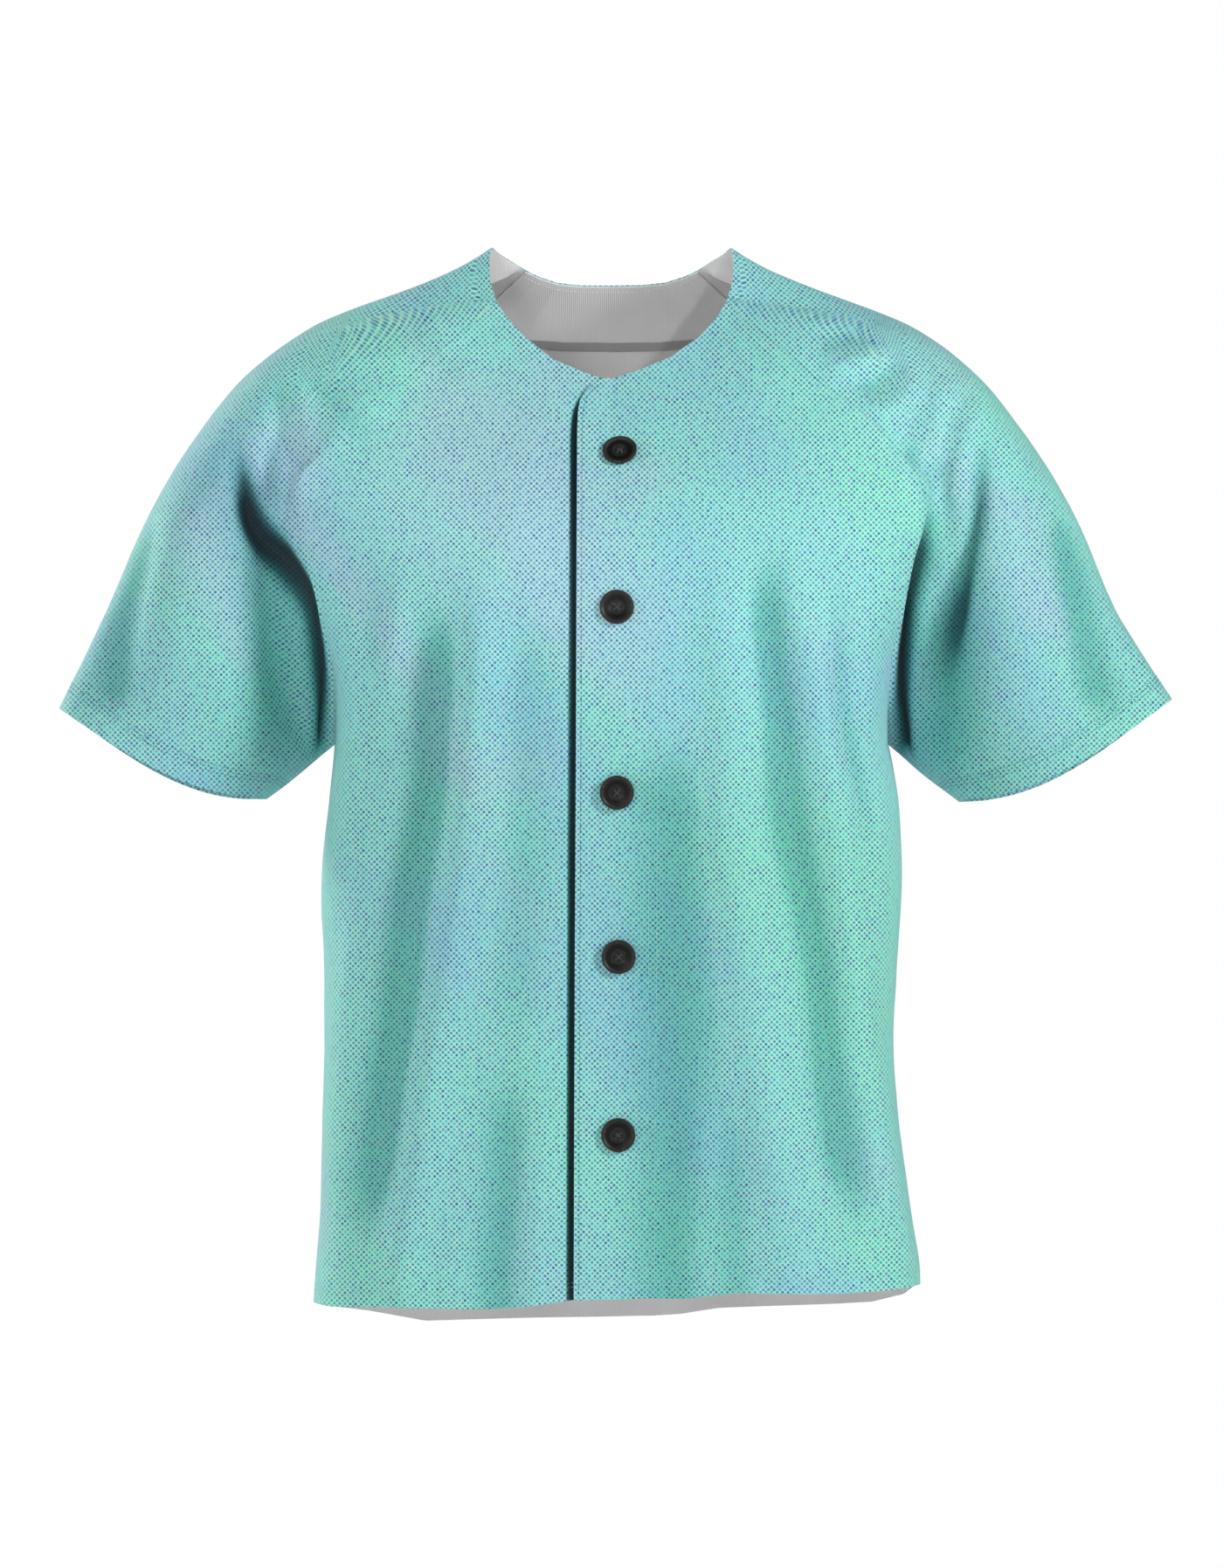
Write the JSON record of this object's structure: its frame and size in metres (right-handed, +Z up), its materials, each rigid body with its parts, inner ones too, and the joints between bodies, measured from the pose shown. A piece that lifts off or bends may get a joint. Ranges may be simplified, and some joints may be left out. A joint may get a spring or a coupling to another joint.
{
  "type": "baseball jersey",
  "caption": "Short-sleeved raglan jersey with a buttoned front and collarless round neck, filled out as if worn, open at neck, cuffs and hem",
  "frame": {"origin": "Midway between the two neck points, level with them, where the wearer's shoulders hold the garment up", "axes": "+Z up; the buttoned front faces -Y; the wearer's left is at +X"},
  "size_m": [0.7958, 0.3007, 0.7703],
  "materials": {
    "right_front_cloth": "dot-printed polyester knit, matte",
    "left_front_cloth": "dot-printed polyester knit, matte",
    "back_cloth": "dot-printed polyester knit, matte",
    "right_sleeve_cloth": "dot-printed polyester knit, matte",
    "left_sleeve_cloth": "dot-printed polyester knit, matte",
    "facing_cloth": "plain grey knit, wrong side out",
    "tape_cloth": "plain knit tape",
    "button_plastic": "moulded, satin gloss"
  },
  "bodies": {
    "root": {"front_right": "right_front_cloth", "front_left": "left_front_cloth", "back": "back_cloth", "sleeve_right": "right_sleeve_cloth", "sleeve_left": "left_sleeve_cloth", "back_neck_facing": "facing_cloth", "facing_tape": "tape_cloth", "button_1": "button_plastic", "button_2": "button_plastic", "button_3": "button_plastic", "button_4": "button_plastic", "button_5": "button_plastic"}
  },
  "joints": []
}
